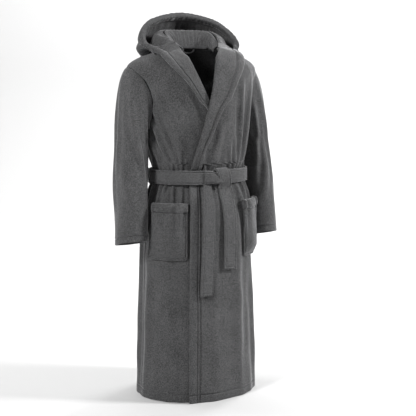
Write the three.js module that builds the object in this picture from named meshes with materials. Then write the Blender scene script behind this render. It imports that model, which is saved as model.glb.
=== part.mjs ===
// A hooded wrap bathrobe standing as if worn: body panels, sleeves, hood, patch pockets and a tied belt.
// Millimetres, +Z up. The wearer faces -Y, so the wearer's left is +X. The hem stands on z = 0.
import * as THREE from "three";
import { mergeVertices } from "three/addons/utils/BufferGeometryUtils.js";

// ---- driving dimensions ----
const WAIST_Y = -13; // how far back the middle of the waist lies: in front of the shoulders
const SHIFT_Y = -6; // moves the whole robe so that its bounding box is centred on the origin
const PLY = 5; // thickness of one plush ply
const GAP = 0.6; // clearance between plies that lie on each other
const SEAM = 0.15; // degrees left open on each side of a seam between two panels
const WRAP = 10; // how far the overlapping front stands off the body
const WRAP_AT_BELT = 4; // the same where the belt presses it flat
const BAND = 38; // width of the front bands
const HEM = 28; // depth of the turned hems
const CUFF = 30; // depth of the turned cuffs
const CUFF_TILT = 0.24; // how steeply a cuff's end rises towards the front
const BELT_Z = 781;
const BELT_WIDTH = 48;
const BELT_THICK = 8;
const ARMHOLE_LOW = 7; // level of the armpit
const ARMHOLE_HIGH = 10; // level of the shoulder point
const ARMHOLE_SPREAD = 27; // degrees that the armhole reaches to the front and to the back of the side

const rad = THREE.MathUtils.degToRad;
const { lerp, clamp, smoothstep } = THREE.MathUtils;

// ---- the body's surface ----
// Levels from the hem (0) over the belt (5) and the shoulder point (10) to the neck seam (13).
// Each is half width, half depth in front and behind, the height in front, at the side and behind,
// and how far back its widest line lies.
const LEVELS = [
  [218, 172, 178, 0, 0, 0, 5],
  [208, 166, 172, 190, 190, 190, 5],
  [202, 161, 168, 380, 380, 380, 4],
  [198, 157, 163, 560, 560, 560, 0],
  [188, 140, 146, 680, 680, 680, -7],
  [164, 108, 112, BELT_Z, BELT_Z, BELT_Z, WAIST_Y],
  [176, 123, 124, 860, 860, 860, -4],
  [187, 138, 136, 935, 935, 935, 6],
  [205, 151, 129, 1030, 1030, 1030, 20],
  [225, 155, 115, 1085, 1100, 1090, 30],
  [241, 145, 101, 1130, 1154, 1140, 34],
  [194, 123, 88, 1158, 1188, 1178, 28],
  [131, 91, 82, 1180, 1206, 1205, 16],
  [80, 64, 68, 1192, 1220, 1223, 9],
];
const TOP = LEVELS.length - 1;

// A smooth curve through a list of numbers, read at any level.
function along(list, level) {
  const at = clamp(level, 0, list.length - 1);
  const i = Math.min(Math.floor(at), list.length - 2);
  const t = at - i;
  const [a, b, c, d] = [-1, 0, 1, 2].map((k) => list[clamp(i + k, 0, list.length - 1)]);
  return b + 0.5 * t * (c - a + t * (2 * a - 5 * b + 4 * c - d + t * (3 * (b - c) + d - a)));
}
const COLUMNS = LEVELS[0].map((_, k) => LEVELS.map((row) => row[k]));

// Where the ray at an angle crosses a level: 0 is the front, 90 the wearer's left, 180 the back.
function basePoint(degrees, level) {
  const [width, front, back, zFront, zSide, zBack, middle] = COLUMNS.map((c) => along(c, level));
  const s = Math.sin(rad(degrees));
  const c = Math.cos(rad(degrees));
  const [depth, zEnd] = c > 0 ? [front, zFront] : [back, zBack];
  return new THREE.Vector3(width * s, middle - depth * c, zSide + (zEnd - zSide) * c * c);
}

// The same point moved outwards by a distance, square to the surface.
function bodyPoint(degrees, level, out = 0) {
  const step = 0.05;
  const round = basePoint(degrees + 1, level).sub(basePoint(degrees - 1, level));
  const low = Math.max(level - step, 0);
  const high = Math.min(level + step, TOP);
  const up = basePoint(degrees, high).sub(basePoint(degrees, low));
  const normal = round.cross(up).normalize();
  const p = basePoint(degrees, level).addScaledVector(normal, out);
  if (level < 0.5) p.z = Math.max(basePoint(degrees, level).z, 0);
  return p;
}

// The level at a height, below the shoulders.
function levelAt(z) {
  let [low, high] = [0, 9];
  for (let i = 0; i < 30; i++) {
    const middle = (low + high) / 2;
    if (along(COLUMNS[3], middle) < z) low = middle;
    else high = middle;
  }
  return low;
}

// How far the overlapping (wearer's left) front stands off the body: nothing at its side seam.
function wrap(degrees, level) {
  const near = Math.exp(-(((level - 5) / 0.4) ** 2));
  const full = lerp(WRAP, WRAP_AT_BELT, near);
  return lerp(-PLY, full, smoothstep(85 - degrees, 0, 45));
}

// ---- closed sheets ----
// outer(s, t) and inner(s, t) are the two faces of a sheet, for s and t from 0 to 1.
function sheet(columns, rows, outer, inner, { closed = false } = {}) {
  const position = [];
  const index = [];
  const wide = closed ? columns : columns + 1;
  for (const face of [outer, inner])
    for (let j = 0; j <= rows; j++)
      for (let i = 0; i < wide; i++) position.push(...face(i / columns, j / rows).toArray());
  const id = (side, i, j) => side * wide * (rows + 1) + j * wide + (i % wide);
  const quad = (a, b, c, d) => index.push(a, b, c, a, c, d);
  for (let j = 0; j < rows; j++)
    for (let i = 0; i < columns; i++) {
      quad(id(0, i, j), id(0, i + 1, j), id(0, i + 1, j + 1), id(0, i, j + 1));
      quad(id(1, i, j), id(1, i, j + 1), id(1, i + 1, j + 1), id(1, i + 1, j));
    }
  for (let i = 0; i < columns; i++) {
    quad(id(0, i, 0), id(1, i, 0), id(1, i + 1, 0), id(0, i + 1, 0));
    quad(id(0, i, rows), id(0, i + 1, rows), id(1, i + 1, rows), id(1, i, rows));
  }
  if (!closed)
    for (let j = 0; j < rows; j++) {
      quad(id(0, 0, j), id(0, 0, j + 1), id(1, 0, j + 1), id(1, 0, j));
      quad(id(0, columns, j), id(1, columns, j), id(1, columns, j + 1), id(0, columns, j + 1));
    }
  const geometry = new THREE.BufferGeometry();
  geometry.setAttribute("position", new THREE.Float32BufferAttribute(position, 3));
  geometry.setIndex(index);
  return facingOut(mergeVertices(geometry, 1e-4));
}

// Turns every triangle round if the solid is inside out, as a mirrored one is.
function facingOut(geometry) {
  const p = geometry.getAttribute("position");
  const at = [new THREE.Vector3(), new THREE.Vector3(), new THREE.Vector3()];
  const index = geometry.index.array;
  let volume = 0;
  for (let i = 0; i < index.length; i += 3) {
    at.forEach((v, k) => v.fromBufferAttribute(p, index[i + k]));
    volume += at[0].dot(at[1].cross(at[2]));
  }
  if (volume < 0)
    for (let i = 0; i < index.length; i += 3) [index[i], index[i + 1]] = [index[i + 1], index[i]];
  geometry.computeVertexNormals();
  return geometry;
}

const mirrored = (p) => new THREE.Vector3(-p.x, p.y, p.z);
const onSide = (side, p) => (side < 0 ? mirrored(p) : p);

// ---- materials ----
const cloth = (color) => new THREE.MeshStandardMaterial({ color, roughness: 0.95, metalness: 0 });
const PLUSH = cloth(0x5c5c5e);
const BELT_PLUSH = cloth(0x626264);
const TAPE = cloth(0x6e6e70);

const robe = new THREE.Group();
robe.position.y = SHIFT_Y;
function add(name, geometry, material = PLUSH) {
  const mesh = new THREE.Mesh(geometry, material);
  mesh.name = name;
  robe.add(mesh);
}

// ---- front edges ----
// The free edge of each front at each level, in degrees from the centre front. Below zero is past the
// centre: the wearer's left front lies over the right one.
const EDGE_OVER = [-28, -28, -28, -28, -28, -28.8, -21.4, -13.6, -5.3, -1, 2.3, 7, 17.6, 51];
const EDGE_UNDER = [-28, -28, -28, -28, -28, -29, -18.7, -9.3, 2.8, 8.3, 11.7, 17.2, 28.5, 58];
const BAND_TOP = 5.55; // level where the band ends and the lapel starts

// Degrees that a width takes at a level, near the front.
const degreesFor = (width, level) => width / (rad(1) * along(COLUMNS[0], level));

// The armhole: a closed loop on the side of the body, from the shoulder point round the front.
const armhole = (turn) => ({
  degrees: 90 - ARMHOLE_SPREAD * Math.sin(turn),
  level: (ARMHOLE_LOW + ARMHOLE_HIGH) / 2 + ((ARMHOLE_HIGH - ARMHOLE_LOW) / 2) * Math.cos(turn),
});
const ARMHOLE_STEPS = 6; // from the armpit to the shoulder point

// The levels of a body panel's rows: the armhole rows meet the sleeve's own points.
const PANEL_LEVELS = [0, 1, 2, 3, 4, 4.5, 5, 5.5, 6.2];
for (let k = 0; k <= ARMHOLE_STEPS; k++)
  PANEL_LEVELS.push(armhole(Math.PI * (1 - k / ARMHOLE_STEPS)).level);
PANEL_LEVELS.push(10.6, 11.3, 12.1, 13);
const PANEL_COLUMNS = 8; // of a front; the back has twice as many
const panelLevel = (t) => PANEL_LEVELS[Math.round(t * (PANEL_LEVELS.length - 1))];

// How far the armhole cuts in from the side seam at a level, in degrees.
function armholeCut(level) {
  const middle = (ARMHOLE_LOW + ARMHOLE_HIGH) / 2;
  const share = (level - middle) / ((ARMHOLE_HIGH - ARMHOLE_LOW) / 2);
  return ARMHOLE_SPREAD * Math.sqrt(Math.max(1 - share * share, 0));
}

function backPanel() {
  const face = (out) => (s, t) => {
    const level = panelLevel(t);
    const from = 90 + SEAM + armholeCut(level);
    return bodyPoint(lerp(from, 360 - from, s), level, out);
  };
  return sheet(2 * PANEL_COLUMNS, PANEL_LEVELS.length - 1, face(0), face(-PLY));
}

// side is 1 for the wearer's left front, which lies over the other.
function frontPanel(side) {
  const edges = side > 0 ? EDGE_OVER : EDGE_UNDER;
  const lift = side > 0 ? wrap : () => -PLY;
  const face = (out) => (s, t) => {
    const level = panelLevel(t);
    const banded = level < BAND_TOP ? degreesFor(BAND + GAP, level) : 0;
    const from = along(edges, level) + banded;
    const degrees = lerp(from, 90 - SEAM - armholeCut(level), s);
    return onSide(side, bodyPoint(degrees, level, lift(degrees, level) + out));
  };
  return sheet(PANEL_COLUMNS, PANEL_LEVELS.length - 1, face(PLY), face(0));
}

// The doubled band along the free edge, from the hem to the start of the lapel.
function frontBand(side) {
  const edges = side > 0 ? EDGE_OVER : EDGE_UNDER;
  const lift = side > 0 ? wrap : () => -PLY;
  const rows = PANEL_LEVELS.filter((level) => level < BAND_TOP);
  const face = (out) => (s, t) => {
    const level = rows[Math.round(t * (rows.length - 1))];
    const degrees = along(edges, level) + degreesFor(BAND, level) * s;
    return onSide(side, bodyPoint(degrees, level, lift(degrees, level) + out));
  };
  return sheet(3, rows.length - 1, face(PLY + 1), face(-0.5));
}

// A hem turned up inside a panel, between two angles. It ends a hair above what the robe stands on.
const HEM_RISE = 0.006;
function turnedHem(side, from, to, columns, lift) {
  const top = levelAt(HEM);
  const face = (out) => (s, t) => {
    const degrees = lerp(from, to, s);
    return onSide(side, bodyPoint(degrees, lerp(HEM_RISE, top, t), lift(degrees, 0) + out));
  };
  return sheet(columns, 1, face(-GAP), face(-GAP - PLY * 0.8));
}

// ---- lapels ----
// Rows of a lapel: level on the free edge, then angle and level of its outer edge.
const LAPEL = [
  [5.6, -16, 5.6],
  [6.2, -10.5, 6.2],
  [7, -2, 7.05],
  [7.7, 6, 7.7],
  [8.4, 14.5, 8.2],
  [9.2, 20, 8.9],
  [10, 25, 9.55],
  [10.8, 31, 10.1],
  [11.6, 40, 10.6],
  [12.4, 52, 10.95],
  [12.9, 64, 11.15],
];
const LAPEL_THICK = 5;
// Where the lapel meets the hood beside the neck: from the crest of the roll to the rim.
const JOIN = [
  [84, -8, 1241],
  [112, -9, 1232],
  [140, -10, 1217],
  [167, -11, 1207],
].map((p) => new THREE.Vector3(...p));

function lapel(side) {
  const edges = side > 0 ? EDGE_OVER : EDGE_UNDER;
  const rest = side > 0 ? PLY + 3 : 2;
  const join = new THREE.CatmullRomCurve3(JOIN);
  const face = (out) => (s, t) => {
    const at = t * (LAPEL.length + 1);
    const k = Math.min(at, LAPEL.length - 1);
    const [onEdge, outerAngle, outerLevel] = [0, 1, 2].map((c) =>
      along(LAPEL.map((row) => row[c]), k),
    );
    const degrees = lerp(along(edges, onEdge), outerAngle, s);
    const level = lerp(onEdge, outerLevel, s);
    const lift = side > 0 ? Math.max(wrap(degrees, level), 0) : 0;
    const onChest = bodyPoint(degrees, level, lift + rest + out);
    const beside = join.getPoint(s);
    beside.z += out - LAPEL_THICK;
    const share = smoothstep(at, LAPEL.length - 1, LAPEL.length + 1);
    return onSide(side, onChest.lerp(beside, share));
  };
  return sheet(6, LAPEL.length + 3, face(LAPEL_THICK), face(0));
}

// ---- sleeves ----
const UPPER_ARM = { x: 238, y: 22, z: 905, rx: 48, ry: 78 };
const ELBOW = { x: 251, y: -3, z: 740, rx: 54, ry: 68 };
const WRIST = { x: 260, y: -21, z: 553, rx: 56, ry: 58 };
const ringPoint = (ring, turn) =>
  new THREE.Vector3(ring.x + ring.rx * Math.cos(turn), ring.y - ring.ry * Math.sin(turn), ring.z);

// A sleeve is a tube: turn 0 is its outer line, a quarter its front, a half its inner line.
function sleevePoint(turn, w, out) {
  const centre = new THREE.Vector3();
  const p = new THREE.Vector3();
  if (w < 0.4) {
    const { degrees, level } = armhole(turn);
    const start = basePoint(degrees, level).add(new THREE.Vector3(1.4, 0, -0.4));
    const end = ringPoint(UPPER_ARM, turn);
    const high = (1 + Math.cos(turn)) / 2;
    const out0 = new THREE.Vector3(0.86, 0, -0.5).multiplyScalar(lerp(40, 140, high));
    const out1 = new THREE.Vector3(0.05, 0, -1).multiplyScalar(lerp(30, 170, high));
    const t = w / 0.4;
    p.addScaledVector(start, 1 - t * t * (3 - 2 * t)).addScaledVector(end, t * t * (3 - 2 * t));
    p.addScaledVector(out0, t * (1 - t) * (1 - t)).addScaledVector(out1, t * t * (t - 1));
    centre.set(lerp(213, UPPER_ARM.x, t), lerp(22, UPPER_ARM.y, t), lerp(1035, UPPER_ARM.z, t));
  } else {
    const t = (w - 0.4) / 0.6;
    const [a, b, k] = t < 0.5 ? [UPPER_ARM, ELBOW, t * 2] : [ELBOW, WRIST, t * 2 - 1];
    p.lerpVectors(ringPoint(a, turn), ringPoint(b, turn), k);
    centre.set(lerp(a.x, b.x, k), lerp(a.y, b.y, k), 0);
    p.z -= CUFF_TILT * smoothstep(w, 0.45, 1) * (p.y - centre.y);
    centre.z = p.z;
  }
  const inward = centre.sub(p).normalize();
  return p.addScaledVector(inward, -out);
}

function sleeve(side) {
  const face = (out) => (s, t) => onSide(side, sleevePoint(s * 2 * Math.PI, t, out));
  return sheet(2 * ARMHOLE_STEPS, 15, face(0), face(-PLY), { closed: true });
}

function cuff(side) {
  const top = 1 - (CUFF / (ELBOW.z - WRIST.z)) * 0.3;
  const face = (out) => (s, t) =>
    onSide(side, sleevePoint(s * 2 * Math.PI, lerp(top, 1, t), out));
  const inner = -PLY - GAP;
  return sheet(2 * ARMHOLE_STEPS, 1, face(inner), face(inner - PLY * 0.8), { closed: true });
}

// ---- hood and neck ----
// Guide points of the hood from the shoulder round to the centre back, at five stations.
const HOOD_GUIDES = {
  crest: [[86, 2, 1244], [93, 30, 1260], [82, 60, 1272], [48, 82, 1279], [0, 92, 1282]],
  inside: [[100, 2, 1240], [120, 38, 1240], [106, 80, 1238], [66, 114, 1236], [0, 126, 1236]],
  bottom: [[112, 2, 1234], [154, 44, 1210], [136, 92, 1188], [88, 140, 1132], [0, 164, 1094]],
  outside: [[122, 2, 1227], [180, 48, 1206], [160, 100, 1192], [112, 160, 1156], [0, 202, 1142]],
  upper: [[134, 1, 1220], [192, 48, 1215], [170, 96, 1223], [116, 147, 1231], [0, 188, 1229]],
  band: [[146, 0, 1215], [190, 44, 1229], [164, 82, 1271], [112, 103, 1303], [0, 118, 1321]],
  rim: [[168, -1, 1209], [177, 36, 1253], [156, 68, 1293], [104, 84, 1322], [0, 96, 1340]],
};
const RIM_FROM = 5 / 6; // where the rim's band starts on the way from the crest

// A guide as one curve from one shoulder round the back to the other.
function wholeGuide(points) {
  const half = points.map((p) => new THREE.Vector3(...p));
  const other = half.slice(0, -1).map(mirrored).reverse();
  return new THREE.CatmullRomCurve3([...half, ...other]);
}
const hoodGuides = Object.values(HOOD_GUIDES).map(wholeGuide);

// A point of the hood: round goes from the wearer's left shoulder to the right one, over from the
// crest of the neck roll through the pouch to the rim.
function hoodPoint(round, over, out) {
  const profile = (at) =>
    new THREE.CatmullRomCurve3(hoodGuides.map((g) => g.getPoint(clamp(at, 0, 1))));
  const here = profile(round);
  const p = here.getPoint(over);
  const beside = profile(round + 0.01).getPoint(over).sub(profile(round - 0.01).getPoint(over));
  const onwards = here.getTangent(over);
  return p.addScaledVector(beside.cross(onwards).normalize(), out);
}

function hoodHalf(side) {
  const end = RIM_FROM - 0.018;
  const face = (out) => (s, t) =>
    onSide(side, hoodPoint(lerp(0.004, 0.4985, s), lerp(0.02, end, t), out));
  return sheet(10, 9, face(PLY / 2), face(-PLY / 2));
}

function hoodRim() {
  const slim = (s) => lerp(0.35, 0.9, Math.min(6 * Math.min(s, 1 - s), 1));
  const face = (out) => (s, t) =>
    hoodPoint(lerp(0.004, 0.996, s), lerp(RIM_FROM, 1, t), PLY * slim(s) * out);
  return sheet(20, 2, face(1), face(-1));
}

// The roll round the neck: from the neck seam up to just under the hood's crest.
const ROLL_CREST = [[70, -22, 1222], [82, 4, 1237], [83, 32, 1251], [72, 58, 1263], [42, 76, 1270], [0, 83, 1273]];
const ROLL_SEAM = [[62, -22, 1206], [70, 2, 1217], [72, 28, 1220], [60, 52, 1222], [34, 68, 1223], [0, 73, 1223]];
const ROLL_BULGE = [[62, -24, 1214], [68, 2, 1229], [70, 29, 1238], [59, 53, 1246], [34, 70, 1252], [0, 74, 1254]];

function collarRoll() {
  const [seam, bulge, crest] = [ROLL_SEAM, ROLL_BULGE, ROLL_CREST].map(wholeGuide);
  const face = (out) => (s, t) => {
    const centre = new THREE.Vector3(0, 15, 0);
    const curve = new THREE.QuadraticBezierCurve3(seam.getPoint(s), bulge.getPoint(s), crest.getPoint(s));
    const p = curve.getPoint(t);
    const outward = p.clone().sub(centre).setZ(0).normalize();
    return p.addScaledVector(outward, out);
  };
  return sheet(20, 3, face(0), face(-PLY));
}

function neckTape() {
  const seam = wholeGuide(ROLL_SEAM);
  const face = (out) => (s, t) => {
    const p = seam.getPoint(lerp(0.24, 0.76, s));
    const outward = new THREE.Vector3(p.x, p.y - 15, 0).normalize();
    return p.addScaledVector(outward, out).setZ(p.z - 3 + 9 * t);
  };
  return sheet(10, 1, face(-PLY - GAP), face(-PLY - GAP - 1.6));
}

// The loop that the robe hangs from: a narrow tape under the neck tape, at the centre back.
const LOOP = { halfWidth: 27, drop: 17, tape: 6, thick: 3, y: 61, z: 1217 };
function hangingLoop() {
  const outline = new THREE.Shape();
  const { halfWidth: w, drop: d, tape } = LOOP;
  outline.moveTo(-w, 0);
  outline.quadraticCurveTo(-w, -d, 0, -d);
  outline.quadraticCurveTo(w, -d, w, 0);
  outline.lineTo(w - tape, 0);
  outline.quadraticCurveTo(w - tape, tape - d, 0, tape - d);
  outline.quadraticCurveTo(tape - w, tape - d, tape - w, 0);
  const made = new THREE.ExtrudeGeometry(outline, { depth: LOOP.thick, bevelEnabled: false, curveSegments: 5 });
  made.rotateX(Math.PI / 2);
  made.translate(0, LOOP.y, LOOP.z);
  return made;
}

// ---- pockets ----
const POCKET = { from: 30, to: 74, low: 498, high: 692, band: 30, bulge: 14 };

function pocketPart(side, low, high, rows, thick) {
  const rest = (degrees, level) => (side > 0 ? wrap(degrees, level) + PLY : 0) + GAP;
  const face = (out) => (s, t) => {
    const z = lerp(low, high, t);
    const up = (z - POCKET.low) / (POCKET.high - POCKET.low);
    const bulge = POCKET.bulge * (1 - Math.abs(2 * s - 1) ** 4) * Math.min(1, up * 6);
    const degrees = lerp(POCKET.from, POCKET.to, s);
    const level = levelAt(z);
    return onSide(side, bodyPoint(degrees, level, rest(degrees, level) + bulge + out));
  };
  return sheet(10, rows, face(thick), face(0));
}
const pocket = (side) => pocketPart(side, POCKET.low, POCKET.high - POCKET.band - GAP, 7, PLY);
const pocketBand = (side) => pocketPart(side, POCKET.high - POCKET.band, POCKET.high, 2, PLY + 1.5);

// ---- belt ----
const KNOT = { from: -7, to: 17, thick: 26 };
const BELT_FRONT = WRAP_AT_BELT + PLY + 6; // the belt's inner face over the doubled fronts
const BELT_BACK = 3.5;
// How much wider the body is at the belt's edges than at its middle.
const BELLY = Math.max(
  ...[0, 1, 2].flatMap((k) =>
    [-1, 1].map((end) => along(COLUMNS[k], levelAt(BELT_Z + (end * BELT_WIDTH) / 2)) - LEVELS[5][k]),
  ),
);

// The belt's inner face, from the body: it rides over the wrapped front.
function beltLift(degrees) {
  const d = ((degrees + 180) % 360) - 180;
  const front = d < 0 ? smoothstep(d, -52, -36) : 1 - smoothstep(d, 46, 90);
  return lerp(BELT_BACK, BELT_FRONT, front) + BELLY;
}

// A flat strap standing on edge round the body, square to the horizontal.
function beltPoint(degrees, z, out) {
  const p = basePoint(degrees, 5);
  const outward = new THREE.Vector3(p.x / 164 ** 2, (p.y - WAIST_Y) / 110 ** 2, 0).normalize();
  return p.addScaledVector(outward, beltLift(degrees) + out).setZ(z);
}

function waistBelt() {
  const face = (out) => (s, t) =>
    beltPoint(lerp(KNOT.to, KNOT.from + 360, s), BELT_Z + BELT_WIDTH * (t - 0.5), out);
  return sheet(36, 1, face(BELT_THICK), face(0));
}

function knot() {
  const face = (out) => (s, t) => {
    const degrees = lerp(KNOT.from + 0.3, KNOT.to - 0.3, s);
    const tall = lerp(48, 40, Math.abs(2 * s - 1));
    return beltPoint(degrees, BELT_Z + tall * (t - 0.5), out);
  };
  const front = (s, t) => {
    const crown = (1 - (2 * s - 1) ** 4) * (1 - (2 * t - 1) ** 4);
    return face(lerp(BELT_THICK, KNOT.thick, crown))(s, t);
  };
  return sheet(8, 6, front, face(0));
}

// A hanging tail: points down the middle of its inner face, and its width.
const TAILS = {
  long: [[-30, 752], [-33, 690], [-38, 600], [-43, 500], [-48, 377]],
  short: [[32, 752], [41, 700], [45, 640], [45, 560], [43, 463]],
};
const TAIL_THICK = 8;
const TAIL_OFF = 3.5; // clearance to the wrapped front

// The front surface's Y at a place on the overlapping front, below the belt.
function frontY(x, z) {
  const level = levelAt(z);
  const degrees = THREE.MathUtils.radToDeg(Math.asin(clamp(x / along(COLUMNS[0], level), -1, 1)));
  return bodyPoint(degrees, level, wrap(degrees, level) + PLY + 1).y;
}

function tail(points) {
  const line = new THREE.CatmullRomCurve3(points.map(([x, z]) => new THREE.Vector3(x, 0, z)));
  // The strap hangs straight: it touches what bulges and bridges what falls away.
  const top = frontY(points[0][0], points[0][1]) - TAIL_OFF - 5;
  const face = (out) => (s, t) => {
    const p = line.getPoint(t);
    p.x += BELT_WIDTH * (s - 0.5);
    const rest = Math.min(frontY(p.x, p.z), frontY(line.getPoint(t).x, p.z)) - TAIL_OFF;
    p.y = Math.min(rest, lerp(top, rest, smoothstep(t, 0, 0.4))) - out;
    return p;
  };
  return sheet(4, 10, face(TAIL_THICK), face(0));
}

// A loop that holds the belt at a side seam: a strap standing off the body over the belt.
const BELT_LOOP = { half: 8, low: 743, high: 819, thick: 3 };
function beltLoop(side) {
  const clear = beltPoint(90, BELT_Z, BELT_THICK).x + 1.2;
  const foot = (z) => basePoint(90, levelAt(z)).x + 2;
  const { low, high, thick } = BELT_LOOP;
  const inner = [
    [foot(low), low],
    [foot(low + 8), low + 8],
    [clear, BELT_Z - BELT_WIDTH / 2 - 2],
    [clear, BELT_Z + BELT_WIDTH / 2 + 2],
    [foot(high - 8), high - 8],
    [foot(high), high],
  ];
  const outline = new THREE.Shape();
  inner.forEach(([x, z], i) => (i ? outline.lineTo(x, z) : outline.moveTo(x, z)));
  [...inner].reverse().forEach(([x, z]) => outline.lineTo(x + thick, z));
  const made = new THREE.ExtrudeGeometry(outline, { depth: 2 * BELT_LOOP.half, bevelEnabled: false });
  made.rotateX(Math.PI / 2);
  made.translate(0, WAIST_Y + BELT_LOOP.half, 0);
  if (side < 0) made.rotateZ(Math.PI).translate(0, 2 * WAIST_Y, 0);
  return made;
}

// ---- the assembly ----
const SIDES = [["left", 1], ["right", -1]];
add("back_panel", backPanel());
add("hem_back", turnedHem(1, 90 + SEAM, 270 - SEAM, 2 * PANEL_COLUMNS, () => -PLY));
for (const [name, side] of SIDES) {
  add(`front_panel_${name}`, frontPanel(side));
  add(`front_band_${name}`, frontBand(side));
  const bandEdge = EDGE_OVER[0] + degreesFor(BAND + GAP, 0);
  add(`hem_front_${name}`, turnedHem(side, bandEdge, 90 - SEAM, PANEL_COLUMNS, side > 0 ? wrap : () => -PLY));
  add(`lapel_${name}`, lapel(side));
  add(`sleeve_${name}`, sleeve(side));
  add(`cuff_hem_${name}`, cuff(side));
  add(`hood_${name}`, hoodHalf(side));
  add(`pocket_${name}`, pocket(side));
  add(`pocket_band_${name}`, pocketBand(side));
  add(`belt_loop_${name}`, beltLoop(side));
}
add("hood_rim", hoodRim());
add("collar_roll", collarRoll());
add("neck_tape", neckTape(), TAPE);
add("hanging_loop", hangingLoop(), TAPE);
add("belt_waist", waistBelt(), BELT_PLUSH);
add("belt_knot", knot(), BELT_PLUSH);
add("belt_tail_long", tail(TAILS.long), BELT_PLUSH);
add("belt_tail_short", tail(TAILS.short), BELT_PLUSH);

export default robe;
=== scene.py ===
"""The looks of the hooded bathrobe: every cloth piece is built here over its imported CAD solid."""

import math

import bpy
import numpy as np
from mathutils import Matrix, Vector


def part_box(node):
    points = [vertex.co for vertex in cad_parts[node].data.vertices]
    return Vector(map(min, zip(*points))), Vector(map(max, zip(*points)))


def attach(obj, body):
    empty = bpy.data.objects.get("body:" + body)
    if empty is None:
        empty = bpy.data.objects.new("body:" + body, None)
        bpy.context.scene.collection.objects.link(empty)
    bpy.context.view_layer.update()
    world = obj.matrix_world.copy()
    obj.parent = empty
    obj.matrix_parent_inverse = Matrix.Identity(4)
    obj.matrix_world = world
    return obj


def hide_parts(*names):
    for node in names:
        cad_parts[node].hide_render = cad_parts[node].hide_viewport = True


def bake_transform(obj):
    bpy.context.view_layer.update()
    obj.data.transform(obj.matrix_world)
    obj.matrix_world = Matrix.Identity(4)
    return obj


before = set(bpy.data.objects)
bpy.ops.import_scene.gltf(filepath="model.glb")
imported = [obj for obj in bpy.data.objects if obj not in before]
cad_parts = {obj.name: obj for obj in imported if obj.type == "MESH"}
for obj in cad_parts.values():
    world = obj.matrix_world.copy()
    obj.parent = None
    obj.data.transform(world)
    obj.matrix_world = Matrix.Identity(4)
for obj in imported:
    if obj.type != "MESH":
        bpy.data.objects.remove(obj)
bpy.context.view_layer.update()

MM = 0.001
PLY = 5 * MM           # one plush ply
WAIST_Y = -19 * MM     # how far back the middle of the waist lies
SHIFT_Y = -6 * MM      # the whole robe lies this far forward of its own tables
WRAP = 10 * MM         # how far the overlapping front stands off the body
WRAP_AT_BELT = 4 * MM
BAND = 38 * MM         # the facing down each front edge
HEM = 28 * MM
SEAM = 0.6 * MM        # the gap between two pieces sewn together
SIDES = (("left", 1), ("right", -1))
BELT_LOW, BELT_HIGH = (c[2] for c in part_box("belt_waist"))
BELT_Z, BELT_WIDTH = (BELT_LOW + BELT_HIGH) / 2, BELT_HIGH - BELT_LOW
ARMHOLE, ARMHOLE_HALF, ARMHOLE_SPREAD = 8.5, 1.5, 27  # middle and half height in levels, degrees

# Half width, half depth in front and behind, height in front, at the side and behind, and how far back
# the widest line lies, in millimetres. A place up the body is given as a level, a row of this table.
LEVELS = np.array([
    [218, 172, 178, 0, 0, 0, 5],
    [208, 166, 172, 190, 190, 190, 5],
    [202, 161, 168, 380, 380, 380, 4],
    [198, 157, 163, 560, 560, 560, 0],
    [188, 140, 146, 680, 680, 680, -7],
    [164, 108, 112, 781, 781, 781, -13],
    [176, 123, 124, 860, 860, 860, -4],
    [187, 138, 136, 935, 935, 935, 6],
    [205, 151, 129, 1030, 1030, 1030, 20],
    [225, 155, 115, 1085, 1100, 1090, 30],
    [241, 145, 101, 1130, 1154, 1140, 34],
    [194, 123, 88, 1158, 1188, 1178, 28],
    [131, 91, 82, 1180, 1206, 1205, 16],
    [80, 64, 68, 1192, 1220, 1223, 9],
]) * MM
# Where the two fronts end at each level, in degrees from the centre front towards their own side: first
# the one on top, then the one under it.
EDGE_OVER = np.array([-28, -28, -28, -28, -28, -28.8, -21.4, -13.6, -5.3, -1, 2.3, 7, 17.6, 51.0])
EDGE_UNDER = np.array([-28, -28, -28, -28, -28, -29, -18.7, -9.3, 2.8, 8.3, 11.7, 17.2, 28.5, 58.0])
EDGES = {1: EDGE_OVER, -1: EDGE_UNDER}
TOP_LEVEL = 13
BODY_LENGTH = 1.25     # from the hem to the neck
BODY_RADIUS = 0.19     # a mean, for the width of a panel's rounded edge
PANEL_RUN = 0.3        # the length that a panel's columns are spaced along
BAND_TOP = 5.55        # the level where the facing goes under the lapel
SIDE_GAP = 0.15        # half the gap at a side seam, in degrees


# ---- numbers ----
def along(table, at):
    """A smooth curve through the rows of a table, read at any place."""
    table = np.asarray(table, float)
    last = len(table) - 1
    at = np.clip(np.asarray(at, float), 0, last)
    i = np.minimum(np.floor(at).astype(int), last - 1)
    t = at - i
    a, b, c, d = (table[np.clip(i + k, 0, last)] for k in (-1, 0, 1, 2))
    if table.ndim > 1:
        t = t[..., None]
    return b + 0.5 * t * (c - a + t * (2 * a - 5 * b + 4 * c - d + t * (3 * (b - c) + d - a)))


def mix(a, b, t):
    return a + (b - a) * t


def smooth(x, low, high):
    t = np.clip((x - low) / (high - low), 0, 1)
    return t * t * (3 - 2 * t)


def unit(v):
    return v / np.maximum(np.linalg.norm(v, axis=-1, keepdims=True), 1e-12)


def hashed(i, j, seed):
    h = np.sin(i * 127.1 + j * 311.7 + seed * 74.7) * 43758.5453
    return h - np.floor(h)


def noise(x, y, seed):
    """Smooth noise from -1 to 1 over a unit lattice."""
    i, j = np.floor(x), np.floor(y)
    u, v = x - i, y - j
    u, v = u * u * (3 - 2 * u), v * v * (3 - 2 * v)
    a, b = hashed(i, j, seed), hashed(i + 1, j, seed)
    c, d = hashed(i, j + 1, seed), hashed(i + 1, j + 1, seed)
    return 2 * mix(mix(a, b, u), mix(c, d, u), v) - 1


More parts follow.
